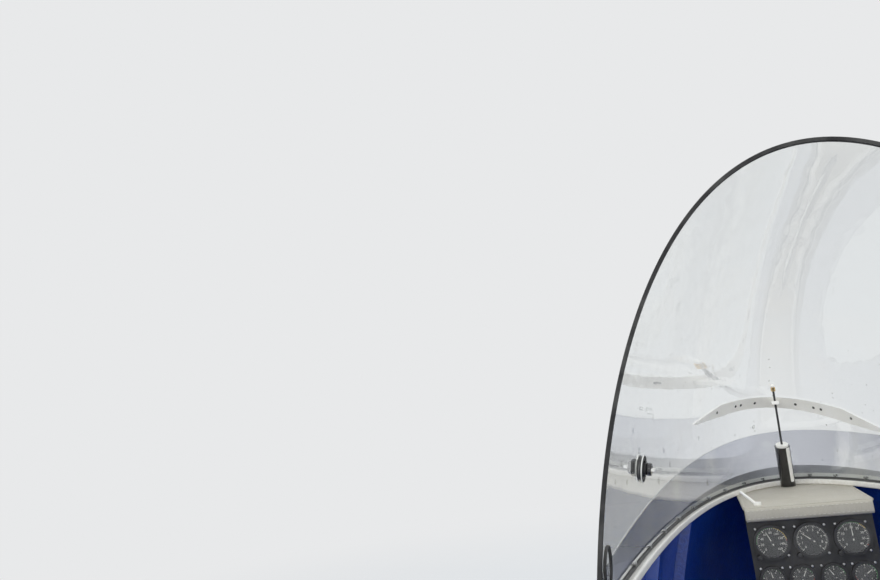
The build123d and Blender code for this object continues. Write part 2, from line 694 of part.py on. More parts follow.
with BuildPart() as panel_knobs:
    with BuildSketch(panel_face):
        with Locations((KNOB_X, -SWITCH_DEPTH)):
            with GridLocations(KNOB_PITCH, 1, KNOB_COUNT, 1):
                Circle(KNOB_RADIUS)
    extrude(amount=KNOB_LENGTH)
panel_knobs.part.label = "panel_knobs"

# Floor on the belly, with ribs and the rear joint's frame standing on it
with BuildPart() as floor_panel:
    add(slab(LINER, REAR_Y, FLOOR_FRONT, BELLY_TOP, FLOOR_TOP))
    add(leg_slot(0), mode=Mode.SUBTRACT)
    add(belly_holes(BOLT_HOLE_RADIUS), mode=Mode.SUBTRACT)
floor_panel.part.label = "floor_panel"

with BuildPart() as shell_ribs:
    for y in RIB_STATIONS:
        add(slab(LINER, y, y + RIB_THICK, FLOOR_TOP, SHELL_TOP))
    add(hull(WALL + RIB_WIDTH), mode=Mode.SUBTRACT)
shell_ribs.part.label = "shell_ribs"

frame_face = Plane((0, RIM_Y + REAR_Y, RIM_Z), x_dir=(1, 0, 0), z_dir=(0, -1, 0))
with BuildPart() as rear_frame:
    add(slab(LINER, REAR_Y, REAR_Y + FRAME_THICK, FLOOR_TOP, SHELL_TOP))
    add(hull(WALL + FRAME_WIDTH), mode=Mode.SUBTRACT)
    with BuildSketch(frame_face):
        for row in FRAME_HOLE_ROWS:
            hole_x = hull_half_width(row, WALL + FRAME_WIDTH / 2)
            with Locations((hole_x, -HULL_SECTIONS[row][0]), (-hole_x, -HULL_SECTIONS[row][0])):
                Circle(FRAME_HOLE_RADIUS)
    extrude(amount=-FRAME_THICK, mode=Mode.SUBTRACT)
rear_frame.part.label = "rear_frame"

# Rubber edge round the nose leg's slot
with BuildPart() as leg_slot_trim:
    add(leg_slot(-FIT))
    add(leg_slot(-FIT - LEG_TRIM), mode=Mode.SUBTRACT)
    split(bisect_by=Plane.XY.offset(BRACKET_THICK - LEG_TRIM), keep=Keep.TOP)
leg_slot_trim.part.label = "leg_slot_trim"

# Steel bracket under the belly and the plate that backs it on the floor
with BuildPart() as keel_bracket:
    with BuildSketch(Plane.XY):
        with Locations(BRACKET_MIDDLE):
            RectangleRounded(BRACKET_WIDTH, BRACKET_LENGTH, BRACKET_RADIUS)
    extrude(amount=BRACKET_THICK)
    add(belly_holes(BOLT_HOLE_RADIUS), mode=Mode.SUBTRACT)
keel_bracket.part.label = "keel_bracket"

with BuildPart() as backing_plate:
    with BuildSketch(Plane.XY.offset(FLOOR_TOP)):
        with Locations(BRACKET_MIDDLE):
            RectangleRounded(BRACKET_WIDTH, BRACKET_LENGTH, BRACKET_RADIUS)
    extrude(amount=PLATE_THICK)
    add(belly_holes(BOLT_HOLE_RADIUS), mode=Mode.SUBTRACT)
backing_plate.part.label = "backing_plate"

# Landing light in the nose: ring outside, lens flush with the shell, can, bowl and bulb behind it
with BuildPart() as light_ring:
    with BuildSketch(light_plane):
        Circle(LIGHT_HOLE_RADIUS + LIGHT_RING_WIDTH)
        Circle(LIGHT_HOLE_RADIUS, mode=Mode.SUBTRACT)
    extrude(amount=LIGHT_REACH)
    add(hull(-FIT - LIGHT_RING_THICK), mode=Mode.INTERSECT)
    add(hull(-FIT), mode=Mode.SUBTRACT)
light_ring.part.label = "light_ring"

with BuildPart() as light_lens:
    with BuildSketch(light_plane):
        Circle(LIGHT_HOLE_RADIUS - FIT)
    extrude(amount=LIGHT_REACH)
    add(OUTER, mode=Mode.INTERSECT)
    add(INNER, mode=Mode.SUBTRACT)
light_lens.part.label = "light_lens"

can_plane = light_plane.offset(HULL_SECTIONS[1][1] - LIGHT_CAN_LENGTH)
with BuildPart() as light_can:
    with BuildSketch(can_plane):
        Circle(LIGHT_HOLE_RADIUS + LIGHT_CAN_WALL)
    extrude(amount=LIGHT_REACH)
    with BuildSketch(can_plane.offset(LIGHT_CAN_WALL)):
        Circle(LIGHT_HOLE_RADIUS)
    extrude(amount=LIGHT_REACH, mode=Mode.SUBTRACT)
    add(LINER, mode=Mode.INTERSECT)
light_can.part.label = "light_can"

bowl_plane = can_plane.offset(LIGHT_CAN_WALL)
with BuildPart() as light_bowl:
    with BuildSketch(bowl_plane):
        Circle(LIGHT_HOLE_RADIUS - FIT)
    extrude(amount=BOWL_DEPTH)
    with Locations(bowl_plane.offset(BOWL_BALL + BOWL_FLOOR).location):
        Sphere(BOWL_BALL, mode=Mode.SUBTRACT)
light_bowl.part.label = "light_bowl"

bulb_plane = bowl_plane.offset(BOWL_FLOOR + FIT)
with BuildPart() as light_bulb:
    with BuildSketch(bulb_plane):
        Circle(BULB_RADIUS / 2)
    extrude(amount=BULB_STEM)
    with Locations(bulb_plane.offset(BULB_STEM).location):
        Sphere(BULB_RADIUS)
light_bulb.part.label = "light_bulb"

# Pitot tube below the light, with a socket against the shell
pitot_plane = Plane((0, RIM_Y, RIM_Z - PITOT_DEPTH), x_dir=(1, 0, 0), z_dir=(0, 1, 0))
with BuildPart() as pitot_tube:
    with BuildSketch(pitot_plane):
        Circle(PITOT_RADIUS)
    extrude(amount=PITOT_REACH)
    with BuildSketch(pitot_plane.offset(PITOT_REACH)):
        Circle(PITOT_BORE)
    extrude(amount=-PITOT_BORE_DEPTH, mode=Mode.SUBTRACT)
pitot_tube.part.label = "pitot_tube"

with BuildPart() as pitot_socket:
    with BuildSketch(pitot_plane):
        Circle(PITOT_SOCKET_RADIUS)
        Circle(PITOT_RADIUS + FIT, mode=Mode.SUBTRACT)
    extrude(amount=PITOT_SOCKET_REACH)
    add(hull(-FIT), mode=Mode.SUBTRACT)
pitot_socket.part.label = "pitot_socket"

PIECES = (
    (nose_shell, coaming_rim, floor_panel, shell_ribs, rear_frame, leg_slot_trim, keel_bracket, backing_plate)
    + (windscreen, windscreen_seal, clamp_strip, clamp_screws, tinted_band, edge_trim)
    + (stay_strip, stay_rivets, stay_lug, stay_rod, stay_bush, bush_cap, rod_tip, vent_ring, vent_scoop)
    + (hood, hood_lever, instrument_panel, dial_bezels, dial_cases, dial_faces, panel_switches, panel_knobs)
    + (light_ring, light_lens, light_can, light_bowl, light_bulb, pitot_tube, pitot_socket)
)

os.makedirs("parts", exist_ok=True)
for piece in PIECES:
    export_step(piece.part, f"parts/{piece.part.label}.step")
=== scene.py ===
import json
from math import cos, pi, radians, sin, sqrt
from random import Random

import bmesh
import bpy
from mathutils import Matrix, Vector
from mathutils.bvhtree import BVHTree


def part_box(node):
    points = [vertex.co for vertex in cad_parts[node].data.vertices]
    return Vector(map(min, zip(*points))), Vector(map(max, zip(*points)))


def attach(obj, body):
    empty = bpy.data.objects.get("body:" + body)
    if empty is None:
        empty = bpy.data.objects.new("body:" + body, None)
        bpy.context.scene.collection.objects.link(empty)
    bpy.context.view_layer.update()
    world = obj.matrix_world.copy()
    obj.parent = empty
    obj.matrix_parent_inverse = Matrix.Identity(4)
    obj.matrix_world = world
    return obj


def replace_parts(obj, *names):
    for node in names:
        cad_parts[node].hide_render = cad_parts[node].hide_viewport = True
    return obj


# Nose fairing with windscreen of a tandem open gyroplane, in metres, +Y forward, +Z up.
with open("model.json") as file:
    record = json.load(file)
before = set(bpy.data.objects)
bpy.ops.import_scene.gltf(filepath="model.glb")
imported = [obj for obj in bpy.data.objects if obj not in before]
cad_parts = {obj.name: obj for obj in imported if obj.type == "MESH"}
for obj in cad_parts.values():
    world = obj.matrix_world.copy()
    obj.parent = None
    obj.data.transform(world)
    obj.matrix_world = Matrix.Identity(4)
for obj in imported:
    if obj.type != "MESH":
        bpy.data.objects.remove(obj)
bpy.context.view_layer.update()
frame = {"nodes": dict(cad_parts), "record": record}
NODES = frame["nodes"]

# Windscreen bubble and rim, as the fairing is built
RIM_Y, RIM_Z = 1.000, 0.534
BUBBLE_HALF_WIDTH, BUBBLE_HALF_LENGTH, BUBBLE_HALF_HEIGHT = 0.370, 1.895, 0.750
BUBBLE_PITCH = radians(7.1)
BUBBLE_DROP = 0.208
GLASS = 0.003
SHELL_MIDDLE = Vector((0, 0.35, 0.32))

# Camera: the rear passenger's eye
CAMERA_PLACE = Vector((-0.1931, -1.097, 0.783))
CAMERA_LEFT, CAMERA_UP, CAMERA_ROLL = radians(16.80), radians(9.63), radians(7.15)
CAMERA_LENS = 31.09
SENSOR = 36.0


def srgb(red, green, blue):
    """A colour written in 0 to 255 as the linear values that a shader takes."""
    linear = [c / 255 / 12.92 if c < 11 else ((c / 255 + 0.055) / 1.055) ** 2.4 for c in (red, green, blue)]
    return (*linear, 1.0)


class Shader:
    """A procedural material under construction, with short calls for its nodes."""

    def __init__(self, name):
        self.material = bpy.data.materials.new(name)
        self.material.use_nodes = True
        self.tree = self.material.node_tree
        self.tree.nodes.clear()
        self.place = self.node("TexCoord").outputs["Object"]

    def node(self, kind, settings=None, **inputs):
        made = self.tree.nodes.new("ShaderNode" + kind)
        for key, value in (settings or {}).items():
            setattr(made, key, value)
        for key, value in inputs.items():
            self.feed(made.inputs[key.replace("_", " ")], value)
        return made

    def feed(self, socket, value):
        if isinstance(value, bpy.types.NodeSocket):
            self.tree.links.new(value, socket)
        else:
            socket.default_value = value

    def stretched(self, scale):
        """Coordinates stretched by a factor along each axis."""
        return self.node("Mapping", Vector=self.place, Scale=scale).outputs[0]

    def noise(self, scale, detail=4.0, stretch=(1, 1, 1), twist=0.0):
        """Soft noise from 0 to 1."""
        inputs = {"Scale": scale, "Detail": detail, "Distortion": twist}
        return self.node("TexNoise", Vector=self.stretched(stretch), **inputs).outputs["Fac"]

    def cells(self, scale, feature="F1"):
        """Distance to the nearest cell's middle, or to its edge."""
        where = self.stretched((1, 1, 1))
        return self.node("TexVoronoi", {"feature": feature}, Vector=where, Scale=scale).outputs["Distance"]

    def weave(self, direction):
        """Even ridges across one axis, as of threads side by side."""
        kind = {"bands_direction": direction}
        return self.node("TexWave", kind, Vector=self.place, Scale=55.0, Distortion=0.4).outputs["Fac"]

    def ramp(self, value, low, high, first=0.0, last=1.0):
        """A value's range stretched to another, and cut off at its ends."""
        made = self.node("MapRange", Value=value, From_Min=low, From_Max=high, To_Min=first, To_Max=last)
        return made.outputs[0]

    def mix(self, share, first, second):
        """Colour between two others."""
        made = self.node("Mix", {"data_type": "RGBA"})
        for socket, value in zip([made.inputs[i] for i in (0, 6, 7)], (share, first, second)):
            self.feed(socket, value)
        return made.outputs[2]

    def math(self, operation, first, second=0.0):
        made = self.node("Math", {"operation": operation})
        self.feed(made.inputs[0], first)
        self.feed(made.inputs[1], second)
        return made.outputs[0]

    def dot(self, first, second):
        made = self.node("VectorMath", {"operation": "DOT_PRODUCT"})
        self.feed(made.inputs[0], first)
        self.feed(made.inputs[1], second)
        return made.outputs["Value"]

    def edges(self, radius, share=0.9):
        """How worn a sharp edge is: 1 along it, 0 on the flat."""
        rounded = self.node("Bevel", {"samples": 4}, Radius=radius).outputs[0]
        straight = self.node("NewGeometry").outputs["Normal"]
        return self.ramp(self.dot(rounded, straight), 1.0, share)

    def inside(self):
        """1 on faces that look toward the shell's middle, 0 on its outside."""
        geometry = self.node("NewGeometry")
        away = self.node("VectorMath", {"operation": "SUBTRACT"})
        self.feed(away.inputs[0], self.place)
        self.feed(away.inputs[1], SHELL_MIDDLE)
        return self.ramp(self.dot(geometry.outputs["Normal"], away.outputs[0]), 0.02, -0.02)

    def bump(self, height, distance, normal=None):
        """Normal of a surface that a height lifts by a distance."""
        made = self.node("Bump", Height=height, Distance=distance, Strength=1.0)
        if normal is not None:
            self.feed(made.inputs["Normal"], normal)
        return made.outputs[0]

    def surface(self, **inputs):
        """Ends the material with one principled shader."""
        shader = self.node("BsdfPrincipled", **inputs)
        end = self.node("OutputMaterial")
        self.tree.links.new(shader.outputs[0], end.inputs["Surface"])
        return self.material

    def see_through(self, shadow, **inputs):
        """Ends the material with glass that lets the lamps' light through."""
        shader = self.node("BsdfPrincipled", **inputs)
        passing = self.node("BsdfTransparent", Color=shadow)
        path = self.node("LightPath")
        both = self.node("MixShader")
        end = self.node("OutputMaterial")
        self.tree.links.new(path.outputs["Is Shadow Ray"], both.inputs[0])
        self.tree.links.new(shader.outputs[0], both.inputs[1])
        self.tree.links.new(passing.outputs[0], both.inputs[2])
        self.tree.links.new(both.outputs[0], end.inputs["Surface"])
        return self.material


def gelcoat(name, colour, faded, laminate, coat=0.6, seam=True, mat=0.0013):
    """Glossy moulded gelcoat outside, rolled glass mat under paint inside, and the mould's middle seam."""
    s = Shader(name)
    inside = s.inside()
    cloud = s.ramp(s.noise(5, 5), 0.35, 0.7)
    fibres = s.noise(75, 3, (1, 1, 1), 2.5)
    flecks = s.ramp(s.cells(240), 0.10, 0.04)
    skin = s.mix(cloud, colour, faded)
    back = s.mix(s.ramp(fibres, 0.42, 0.62), laminate, colour)
    tone = s.mix(inside, skin, back)
    tone = s.mix(s.math("MULTIPLY", flecks, 0.18), tone, srgb(190, 190, 185))
    tone = s.mix(s.math("MULTIPLY", s.edges(0.0015), 0.35), tone, faded)
    scuffs = s.ramp(s.noise(28, 6, (1, 6, 1), 0.4), 0.62, 0.72)
    rough = s.math("ADD", s.ramp(s.noise(14, 5), 0.3, 0.7, 0.14, 0.24), s.math("MULTIPLY", scuffs, 0.12))
    rough = s.math("ADD", rough, s.math("MULTIPLY", inside, 0.24))
    peel = s.bump(s.noise(130, 2), 0.00025)
    if seam:
        across = s.node("SeparateXYZ", Vector=s.place).outputs["X"]
        line = s.ramp(s.math("ABSOLUTE", across), 0.0016, 0.0008)
        line = s.math("MULTIPLY", line, s.math("SUBTRACT", 1.0, inside))
        tone = s.mix(s.math("MULTIPLY", line, 0.4), tone, faded)
        peel = s.bump(line, 0.0004, peel)
    rolled = s.bump(s.math("MULTIPLY", fibres, inside), mat, peel)
    return s.surface(Base_Color=tone, Roughness=rough, Normal=rolled, Coat_Weight=coat, Coat_Roughness=0.08)


def rubber(name, colour):
    """Dull rubber with dust in its pores."""
    s = Shader(name)
    dust = s.ramp(s.noise(22, 6), 0.45, 0.75)
    tone = s.mix(dust, colour, srgb(74, 74, 72))
    rough = s.ramp(s.noise(60, 4), 0.3, 0.7, 0.55, 0.8)
    return s.surface(Base_Color=tone, Roughness=rough, Normal=s.bump(s.noise(420, 3), 0.0004))


def metal(name, colour, dull, grain=(1, 1, 1), low=0.18, high=0.36, wear=0.5, metallic=1.0):
    """Brushed or plated metal, with the brushing along the axis that grain leaves short."""
    s = Shader(name)
    lines = s.noise(120, 4, grain)
    stain = s.ramp(s.noise(9, 6), 0.4, 0.75)
    tone = s.mix(stain, colour, dull)
    tone = s.mix(s.math("MULTIPLY", s.edges(0.0008), wear), tone, srgb(225, 226, 228))
    rough = s.math("ADD", s.ramp(lines, 0.3, 0.7, low, high), s.math("MULTIPLY", stain, 0.1))
    return s.surface(Base_Color=tone, Roughness=rough, Metallic=metallic, Normal=s.bump(lines, 0.0001))


def plastic(name, colour, worn, grain=260.0, low=0.3, high=0.5, depth=0.0004, coat=0.0):
    """Moulded or painted surface with a fine grain, scratches and rubbed edges."""
    s = Shader(name)
    tone = s.mix(s.ramp(s.noise(11, 5), 0.35, 0.75, 0.0, 0.55), colour, worn)
    scratches = s.ramp(s.noise(35, 8, (1, 9, 3), 1.2), 0.66, 0.7)
    tone = s.mix(s.math("MULTIPLY", scratches, 0.35), tone, worn)
    tone = s.mix(s.math("MULTIPLY", s.edges(0.001), 0.5), tone, worn)
    rough = s.math("ADD", s.ramp(s.noise(40, 4), 0.3, 0.7, low, high), s.math("MULTIPLY", scratches, 0.15))
    normal = s.bump(scratches, 0.00015, s.bump(s.noise(grain, 3), depth))
    return s.surface(Base_Color=tone, Roughness=rough, Normal=normal, Coat_Weight=coat, Coat_Roughness=0.05)


def leatherette(name, colour, worn):
    """Fine-grained padding cover, with shallow pores between raised cells, and the pores painted darker as
    painted shade.
    """
    s = Shader(name)
    cells = s.cells(700, "DISTANCE_TO_EDGE")
    # Painted shade: the pores along the cells' edges take the darker second colour, as shade in the grain.
    tone = s.mix(s.ramp(cells, 0.0, 0.08), worn, colour)
    tone = s.mix(s.ramp(s.noise(12, 5), 0.4, 0.75, 0.0, 0.6), tone, worn)
    rough = s.ramp(s.noise(50, 4), 0.3, 0.7, 0.45, 0.62)
    return s.surface(Base_Color=tone, Roughness=rough, Normal=s.bump(s.ramp(cells, 0.0, 0.2), 0.0003))


def deck(name, colour, worn):
    """Floor composite: a plain weave under a thin anti-slip paint."""
    s = Shader(name)
    weave = s.math("MULTIPLY", s.weave("X"), s.weave("Y"))
    grit = s.noise(300, 2)
    tone = s.mix(s.ramp(weave, 0.1, 0.7), worn, colour)
    tone = s.mix(s.ramp(s.noise(7, 6), 0.5, 0.8, 0.0, 0.6), tone, worn)
    rough = s.ramp(grit, 0.3, 0.7, 0.5, 0.75)
    return s.surface(Base_Color=tone, Roughness=rough, Normal=s.bump(grit, 0.0006, s.bump(weave, 0.0012)))


def acrylic(name, tint, shadow, haze):
    """Clear sheet, slightly wavy, with fine polishing swirls and a thin film of dust."""
    s = Shader(name)
    swirls = s.ramp(s.noise(60, 8, (1, 3, 1), 3.0), 0.58, 0.66)
    film = s.ramp(s.noise(6, 5), 0.5, 0.8)
    rough = s.math("ADD", s.math("MULTIPLY", swirls, haze), s.math("MULTIPLY", film, haze / 2))
    tone = s.mix(film, tint, srgb(250, 251, 250))
    return s.see_through(
        shadow,
        Base_Color=tone,
        Roughness=rough,
        Normal=s.bump(s.noise(9, 1), 0.0001),
        IOR=1.49,
        Transmission_Weight=1.0,
        Specular_IOR_Level=0.22,
    )


def water(name):
    """Drops of water with a little grime, which catch the light."""
    s = Shader(name)
    grime = s.ramp(s.noise(180, 3), 0.35, 0.7)
    tone = s.mix(grime, srgb(252, 252, 250), srgb(228, 228, 224))
    return s.see_through(
        (0.9, 0.9, 0.9, 1),
        Base_Color=tone,
        Roughness=s.ramp(grime, 0.0, 1.0, 0.02, 0.10),
        Normal=s.bump(grime, 0.0001),
        IOR=1.33,
        Transmission_Weight=0.85,
        Coat_Weight=1.0,
    )


def printed(name, colour):
    """Paint of a dial's marks and a needle, slightly uneven."""
    s = Shader(name)
    tone = s.mix(s.ramp(s.noise(200, 3), 0.4, 0.8, 0.0, 0.25), colour, srgb(120, 118, 110))
    rough = s.ramp(s.noise(90, 3), 0.3, 0.7, 0.4, 0.6)
    return s.surface(Base_Color=tone, Roughness=rough, Normal=s.bump(s.noise(500, 2), 0.0001))


MATERIALS = {
    "blue_gelcoat": gelcoat("blue_gelcoat", srgb(6, 66, 164), srgb(22, 82, 176), srgb(4, 54, 142)),
    "cream_gelcoat": gelcoat(
        "cream_gelcoat", srgb(246, 244, 238), srgb(232, 229, 221), srgb(238, 235, 227), 0.3, False, 0.0001
    ),
    "floor_composite": deck("floor_composite", srgb(62, 64, 66), srgb(92, 92, 90)),
    "black_rubber": rubber("black_rubber", srgb(24, 24, 25)),
    "bracket_steel": metal(
        "bracket_steel", srgb(168, 169, 170), srgb(136, 136, 133), (1, 8, 1), metallic=0.45
    ),
    "clear_screen": acrylic("clear_screen", srgb(249, 251, 251), (0.96, 0.97, 0.97, 1), 0.012),
    "tinted_screen": acrylic("tinted_screen", srgb(218, 219, 226), (0.80, 0.80, 0.83, 1), 0.02),
    "strip_aluminium": metal(
        "strip_aluminium", srgb(238, 238, 234), srgb(222, 221, 215), (1, 1, 14), 0.36, 0.5, 0.5, 0.15
    ),
    "screw_steel": metal("screw_steel", srgb(186, 187, 188), srgb(140, 138, 134)),
    "white_plastic": plastic("white_plastic", srgb(249, 248, 244), srgb(236, 234, 226), 180.0, 0.28, 0.45),
    "rivet_black": plastic("rivet_black", srgb(60, 60, 60), srgb(110, 108, 104), 400.0, 0.3, 0.5),
    "rod_black": plastic("rod_black", srgb(40, 41, 44), srgb(96, 96, 98), 300.0, 0.25, 0.4),
    "gloss_black": plastic(
        "gloss_black", srgb(14, 14, 18), srgb(40, 36, 38), 200.0, 0.05, 0.10, 0.00005, 1.0
    ),
    "brass_tip": metal("brass_tip", srgb(226, 196, 140), srgb(180, 140, 84)),
    "black_plastic": plastic("black_plastic", srgb(32, 32, 34), srgb(86, 85, 84), 260.0, 0.32, 0.55),
    "hood_grey": leatherette("hood_grey", srgb(206, 201, 187), srgb(188, 183, 168)),
    "panel_black": plastic("panel_black", srgb(38, 39, 41), srgb(88, 86, 82), 520.0, 0.45, 0.7, 0.0006),
    "dial_black": plastic("dial_black", srgb(15, 15, 16), srgb(24, 24, 25), 700.0, 0.55, 0.7, 0.00005),
    "switch_chrome": metal("switch_chrome", srgb(214, 215, 217), srgb(178, 178, 180), low=0.08, high=0.18),
    "mirror_bowl": metal("mirror_bowl", srgb(232, 233, 235), srgb(206, 206, 208), low=0.04, high=0.1),
    "bulb_glass": acrylic("bulb_glass", srgb(238, 236, 226), (0.85, 0.85, 0.8, 1), 0.3),
}
WATER = water("water")
DIAL_GLASS = acrylic("dial_glass", srgb(250, 250, 250), (0.98, 0.98, 0.98, 1), 0.004)
PAINTS = {
    "white": printed("dial_white", srgb(226, 225, 216)),
    "green": printed("dial_green", srgb(60, 150, 70)),
    "yellow": printed("dial_yellow", srgb(222, 188, 60)),
    "red": printed("dial_red", srgb(190, 42, 36)),
}

for row in frame["record"]["subparts"]:
    node = NODES[row["node"]]
    node.data.materials.clear()
    node.data.materials.append(MATERIALS[row["material_slot"]])
NODES["windscreen_seal"].data.materials[0] = rubber("seal_rubber", srgb(84, 84, 84))


class Mesh:
    """Points and faces of one piece, gathered from smaller shapes."""

    def __init__(self):
        self.points, self.faces = [], []

    def add(self, points, faces, place=Matrix.Identity(4)):
        """Points in their own frame, and faces that count them from 0."""
        start = len(self.points)
        self.points += [place @ Vector(p) for p in points]
        self.faces += [[start + i for i in face] for face in faces]

    def rings(self, rings, place=Matrix.Identity(4), closed=False):
        """Rings of the same number of points, joined in order, into a loop or with a cap at each end."""
        count = len(rings[0])
        points = [p for ring in rings for p in ring]
        faces = []
        pairs = len(rings) if closed else len(rings) - 1
        for r in range(pairs):
            a, b = r * count, (r + 1) % len(rings) * count
            faces += [[a + i, a + (i + 1) % count, b + (i + 1) % count, b + i] for i in range(count)]
        if not closed:
            faces.append(list(range(count))[::-1])
            faces.append(list(range(len(points) - count, len(points))))
        self.add(points, faces, place)

    def revolve(self, profile, place, steps=24):
        """A profile of radius and height turned about the local Z axis."""
        self.rings([circle(radius, height, steps) for radius, height in profile], place)

    def piece(self, name, material, slot, body="fairing", smooth=radians(35)):
        """The finished piece, which rides on a body and takes a material; its slot argument is not used."""
        data = bpy.data.meshes.new(name)
        data.from_pydata([tuple(p) for p in self.points], [], self.faces)
        data.update()
        obj = bpy.data.objects.new(name, data)
        bpy.context.scene.collection.objects.link(obj)
        tidy = bmesh.new()
        tidy.from_mesh(data)
        bmesh.ops.recalc_face_normals(tidy, faces=tidy.faces)
        tidy.to_mesh(data)
        tidy.free()
        data.materials.append(material)
        data.shade_smooth()
        data.set_sharp_from_angle(angle=smooth)
        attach(obj, body)
        return obj


def angles(steps, start=0.0):
    """Angles once round, at even steps."""
    return [start + 2 * pi * i / steps for i in range(steps)]


def circle(radius, height, steps, start=0.0):
    """Points of a level ring."""
    return [(radius * cos(a), radius * sin(a), height) for a in angles(steps, start)]


def glass_outward(point):
    """Outward direction on the bubble at a point."""
    c, s = cos(BUBBLE_PITCH), sin(BUBBLE_PITCH)
    middle = Vector((0, RIM_Y + BUBBLE_Y, RIM_Z - BUBBLE_DROP))
    x, along, up = point - middle
    y, z = along * c + up * s, up * c - along * s
    gx, gy, gz = x / BUBBLE_HALF_WIDTH**2, y / BUBBLE_HALF_LENGTH**2, z / BUBBLE_HALF_HEIGHT**2
    return Vector((gx, gy * c - gz * s, gy * s + gz * c)).normalized()


def level_cut(height):
    """Middle, half width and half length of the bubble's level ellipse, from its own middle."""
    c, s = cos(BUBBLE_PITCH), sin(BUBBLE_PITCH)
    width, length, tall = BUBBLE_HALF_WIDTH, BUBBLE_HALF_LENGTH, BUBBLE_HALF_HEIGHT
    up = height + BUBBLE_DROP
    square = (c / length) ** 2 + (s / tall) ** 2
    cross = up * s * c / length**2 - up * c * s / tall**2
    share = 1 - (up * s / length) ** 2 - (up * c / tall) ** 2 + cross**2 / square
    return -cross / square, width * sqrt(share), sqrt(share / square)


# Place of the bubble's middle, from the rim's front
BUBBLE_Y = -sum(level_cut(0)[::2])


def glass_point(height, y, side):
    """Point on the bubble's left (-1) or right (1), from its height over the rim and place from its front."""
    middle, width, length = level_cut(height)
    x = side * width * sqrt(max(0.0, 1 - ((y - BUBBLE_Y - middle) / length) ** 2))
    return Vector((x, RIM_Y + y, RIM_Z + height))


def seat(point, outward, up=Vector((0, 0, 1))):
    """A frame at a point whose Z axis points outward and whose Y axis is as near up as it can be."""
    x = up.cross(outward).normalized()
    y = outward.cross(x)
    return Matrix.Translation(point) @ Matrix((x, y, outward)).transposed().to_4x4()


def solids(node):
    """The points of each solid of a construction piece."""
    mesh = bmesh.new()
    mesh.from_mesh(NODES[node].data)
    bmesh.ops.remove_doubles(mesh, verts=mesh.verts, dist=1e-6)
    left, found = set(mesh.verts), []
    while left:
        stack, group = [left.pop()], []
        while stack:
            point = stack.pop()
            group.append(point.co.copy())
            for edge in point.link_edges:
                other = edge.other_vert(point)
                if other in left:
                    left.remove(other)
                    stack.append(other)
        found.append(group)
    mesh.free()
    return sorted(found, key=lambda points: tuple(round(v, 4) for v in sum(points, Vector()) / len(points)))


def extent(points):
    """Lowest and highest corner of the box round some points."""
    axes = range(3)
    return Vector([min(p[i] for p in points) for i in axes]), Vector([max(p[i] for p in points) for i in axes])


def cross_ring(arm, half, height):
    """Twenty-four points round a cross, in the order of their angle."""
    corners = [(arm, -half), (arm, half), (half, half), (half, arm), (-half, arm), (-half, half)]
    corners += [(-x, -y) for x, y in corners]
    points = []
    for first, second in zip(corners, corners[1:] + corners[:1]):
        points.append((*first, height))
        points.append(((first[0] + second[0]) / 2, (first[1] + second[1]) / 2, height))
    return points


def pan_head(mesh, place, radius, height):
    """A pan-head screw's head with a cross recess."""
    first = -radians(14)
    dome = ((1, 0), (1, 0.35), (0.93, 0.72), (0.78, 0.93), (0.66, 1))
    rings = [circle(radius * share, height * level, 24, first) for share, level in dome]
    arm, half = radius * 0.5, radius * 0.12
    rings += [cross_ring(arm, half, height), cross_ring(arm * 0.8, half * 0.7, height * 0.35)]
    mesh.rings(rings, place)


def clamp_screws():
    """Screws round the windscreen's foot, with a recess in each head and a domed nut inside."""
    mesh = Mesh()
    head_radius, head, shank = 0.0045, 0.0022, 0.002
    for points in solids("clamp_screws"):
        middle = sum(points, Vector()) / len(points)
        outward = glass_outward(middle)
        reach = [(p - middle).dot(outward) for p in points]
        top, bottom = middle + outward * (max(reach) - head), middle + outward * min(reach)
        place = seat(top, outward)
        pan_head(mesh, place, head_radius, head)
        length = (top - bottom).length
        mesh.revolve([(shank, 0), (shank, -length + 0.001)], place, 12)
        nut = [(0.0034, 0.0024), (0.0036, 0.0020), (0.0036, 0.0005), (0.0032, 0.0)]
        mesh.revolve(nut, seat(bottom, outward), 6)
    made = mesh.piece("clamp_screw_set", MATERIALS["screw_steel"], "screw_steel")
    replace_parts(made, "clamp_screws")


def stay_rivets():
    """Blind rivets of the white strip, each with a domed head and a dimple."""
    mesh = Mesh()
    for points in solids("stay_rivets"):
        middle = sum(points, Vector()) / len(points)
        inward = -glass_outward(middle)
        reach = [(p - middle).dot(inward) for p in points]
        place = seat(middle + inward * (max(reach) - 0.0016), inward)
        shank = [(0.0016, -0.0022), (0.0016, 0)]
        head = [(0.0032, 0), (0.0031, 0.0006), (0.0024, 0.0013), (0.0014, 0.0016)]
        dimple = [(0.001, 0.0014), (0.0009, 0.0009)]
        mesh.revolve(shank + head + dimple, place)
    made = mesh.piece("stay_rivet_set", MATERIALS["rivet_black"], "rivet_black")
    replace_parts(made, "stay_rivets")


def rod_axis():
    """A point on the stay rod's axis and the direction up along it."""
    points = sorted((v.co for v in NODES["stay_rod"].data.vertices), key=lambda p: p.z)
    half = len(points) // 2
    low, high = sum(points[:half], Vector()) / half, sum(points[-half:], Vector()) / half
    return low, (high - low).normalized()


